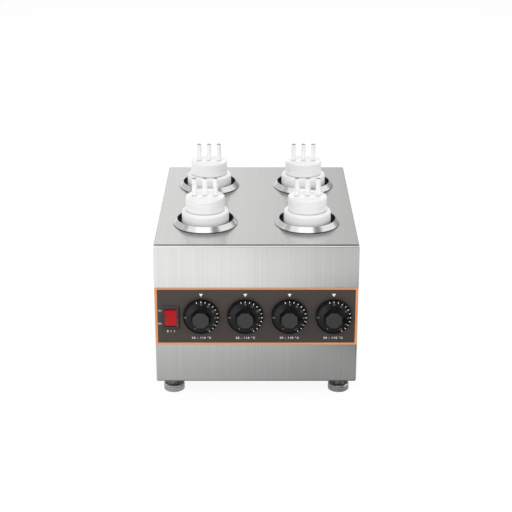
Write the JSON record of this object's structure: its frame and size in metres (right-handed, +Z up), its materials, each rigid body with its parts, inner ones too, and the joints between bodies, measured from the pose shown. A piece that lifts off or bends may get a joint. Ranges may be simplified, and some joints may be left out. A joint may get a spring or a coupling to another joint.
{
  "type": "sauce bottle warmer",
  "caption": "Countertop warmer with heated wells for squeeze bottles, thermostat knobs, a rocker switch and levelling feet.",
  "frame": {"origin": "on the floor, under the middle of the outer box", "axes": "+Z up, the control panel faces -Y, +X to the right as seen from the front"},
  "size_m": [0.295, 0.4196, 0.3095],
  "materials": {
    "cabinet_steel": "brushed stainless sheet, vertical grain",
    "polished_steel": "polished turned steel",
    "pot_steel": "spun stainless",
    "zinc_steel": "zinc-plated steel",
    "panel_film": "dark brown-grey panel film, satin",
    "trim_film": "pale orange border film, satin",
    "knob_plastic": "near-black moulded knob",
    "switch_plastic": "dark switch frame",
    "rocker_plastic": "red translucent rocker",
    "bottle_plastic": "white soft polythene",
    "cap_plastic": "white moulded cap",
    "seal_rubber": "grey seal ring",
    "black_nylon": "black moulded plastic",
    "copper": "drawn copper capillary tube",
    "block_plastic": "white moulded block",
    "loom_sleeve": "grey woven sleeve"
  },
  "bodies": {
    "cabinet": {"body_shell": "cabinet_steel", "top_plate": "cabinet_steel", "rear_panel": "cabinet_steel", "well_ring_1": "polished_steel", "well_ring_2": "polished_steel", "well_ring_3": "polished_steel", "well_ring_4": "polished_steel", "well_pot_1": "pot_steel", "well_pot_2": "pot_steel", "well_pot_3": "pot_steel", "well_pot_4": "pot_steel", "base_plate": "zinc_steel", "rear_screw_1": "zinc_steel", "rear_screw_2": "zinc_steel", "rear_screw_3": "zinc_steel", "rear_screw_4": "zinc_steel", "heater_band_1": "zinc_steel", "heater_band_2": "zinc_steel", "heater_band_3": "zinc_steel", "heater_band_4": "zinc_steel", "control_panel": "panel_film", "panel_trim": "trim_film", "switch_housing": "switch_plastic", "cable_gland": "black_nylon", "gland_nut": "black_nylon", "thermostat_1": "black_nylon", "thermostat_2": "black_nylon", "thermostat_3": "black_nylon", "thermostat_4": "black_nylon", "capillary_1": "copper", "capillary_2": "copper", "capillary_3": "copper", "capillary_4": "copper", "terminal_block": "block_plastic", "wiring_loom": "loom_sleeve"},
    "knob_1": {"knob_1": "knob_plastic", "thermostat_shaft_1": "zinc_steel"},
    "bottle_1": {"bottle_1": "bottle_plastic"},
    "cap_seal_1": {"cap_seal_1": "seal_rubber"},
    "cap_1": {"cap_1": "cap_plastic"},
    "foot_1": {"foot_1": "polished_steel"},
    "knob_2": {"knob_2": "knob_plastic", "thermostat_shaft_2": "zinc_steel"},
    "bottle_2": {"bottle_2": "bottle_plastic"},
    "cap_seal_2": {"cap_seal_2": "seal_rubber"},
    "cap_2": {"cap_2": "cap_plastic"},
    "foot_2": {"foot_2": "polished_steel"},
    "knob_3": {"knob_3": "knob_plastic", "thermostat_shaft_3": "zinc_steel"},
    "bottle_3": {"bottle_3": "bottle_plastic"},
    "cap_seal_3": {"cap_seal_3": "seal_rubber"},
    "cap_3": {"cap_3": "cap_plastic"},
    "foot_3": {"foot_3": "polished_steel"},
    "knob_4": {"knob_4": "knob_plastic", "thermostat_shaft_4": "zinc_steel"},
    "bottle_4": {"bottle_4": "bottle_plastic"},
    "cap_seal_4": {"cap_seal_4": "seal_rubber"},
    "cap_4": {"cap_4": "cap_plastic"},
    "foot_4": {"foot_4": "polished_steel"},
    "rocker": {"switch_rocker": "rocker_plastic"}
  },
  "joints": [
    {"name": "knob_1_turn", "type": "hinge", "parent": "cabinet", "child": "knob_1", "pos_m": [-0.08, -0.2, 0.1305], "axis": [0, -1, 0], "range_deg": [-90, 150]},
    {"name": "knob_2_turn", "type": "hinge", "parent": "cabinet", "child": "knob_2", "pos_m": [-0.016, -0.2, 0.1305], "axis": [0, -1, 0], "range_deg": [-90, 150]},
    {"name": "knob_3_turn", "type": "hinge", "parent": "cabinet", "child": "knob_3", "pos_m": [0.048, -0.2, 0.1305], "axis": [0, -1, 0], "range_deg": [-90, 150]},
    {"name": "knob_4_turn", "type": "hinge", "parent": "cabinet", "child": "knob_4", "pos_m": [0.112, -0.2, 0.1305], "axis": [0, -1, 0], "range_deg": [-90, 150]},
    {"name": "rocker_tilt", "type": "hinge", "parent": "cabinet", "child": "rocker", "pos_m": [-0.1242, -0.19, 0.1278], "axis": [-1, 0, 0], "range_deg": [0, 14]},
    {"name": "bottle_1_lift", "type": "slide", "parent": "cabinet", "child": "bottle_1", "axis": [0, 0, 1], "range_m": [0, 0.165]},
    {"name": "cap_1_rise", "type": "slide", "parent": "bottle_1", "child": "cap_seal_1", "axis": [0, 0, 1], "range_m": [0, 0.006]},
    {"name": "cap_1_turn", "type": "hinge", "parent": "cap_seal_1", "child": "cap_1", "pos_m": [-0.0757, -0.095, 0.27], "axis": [0, 0, 1], "range_deg": [0, 540]},
    {"name": "bottle_2_lift", "type": "slide", "parent": "cabinet", "child": "bottle_2", "axis": [0, 0, 1], "range_m": [0, 0.165]},
    {"name": "cap_2_rise", "type": "slide", "parent": "bottle_2", "child": "cap_seal_2", "axis": [0, 0, 1], "range_m": [0, 0.006]},
    {"name": "cap_2_turn", "type": "hinge", "parent": "cap_seal_2", "child": "cap_2", "pos_m": [-0.0757, 0.087, 0.27], "axis": [0, 0, 1], "range_deg": [0, 540]},
    {"name": "bottle_3_lift", "type": "slide", "parent": "cabinet", "child": "bottle_3", "axis": [0, 0, 1], "range_m": [0, 0.165]},
    {"name": "cap_3_rise", "type": "slide", "parent": "bottle_3", "child": "cap_seal_3", "axis": [0, 0, 1], "range_m": [0, 0.006]},
    {"name": "cap_3_turn", "type": "hinge", "parent": "cap_seal_3", "child": "cap_3", "pos_m": [0.0757, 0.087, 0.27], "axis": [0, 0, 1], "range_deg": [0, 540]},
    {"name": "bottle_4_lift", "type": "slide", "parent": "cabinet", "child": "bottle_4", "axis": [0, 0, 1], "range_m": [0, 0.165]},
    {"name": "cap_4_rise", "type": "slide", "parent": "bottle_4", "child": "cap_seal_4", "axis": [0, 0, 1], "range_m": [0, 0.006]},
    {"name": "cap_4_turn", "type": "hinge", "parent": "cap_seal_4", "child": "cap_4", "pos_m": [0.0757, -0.095, 0.27], "axis": [0, 0, 1], "range_deg": [0, 540]},
    {"name": "foot_1_height", "type": "slide", "parent": "cabinet", "child": "foot_1", "axis": [0, 0, -1], "range_m": [0, 0.008]},
    {"name": "foot_2_height", "type": "slide", "parent": "cabinet", "child": "foot_2", "axis": [0, 0, -1], "range_m": [0, 0.008]},
    {"name": "foot_3_height", "type": "slide", "parent": "cabinet", "child": "foot_3", "axis": [0, 0, -1], "range_m": [0, 0.008]},
    {"name": "foot_4_height", "type": "slide", "parent": "cabinet", "child": "foot_4", "axis": [0, 0, -1], "range_m": [0, 0.008]}
  ],
  "couplings": [
    {"joint": "cap_1_rise", "follows": "cap_1_turn", "m_per_rad": 0.00063662},
    {"joint": "cap_2_rise", "follows": "cap_2_turn", "m_per_rad": 0.00063662},
    {"joint": "cap_3_rise", "follows": "cap_3_turn", "m_per_rad": 0.00063662},
    {"joint": "cap_4_rise", "follows": "cap_4_turn", "m_per_rad": 0.00063662}
  ]
}
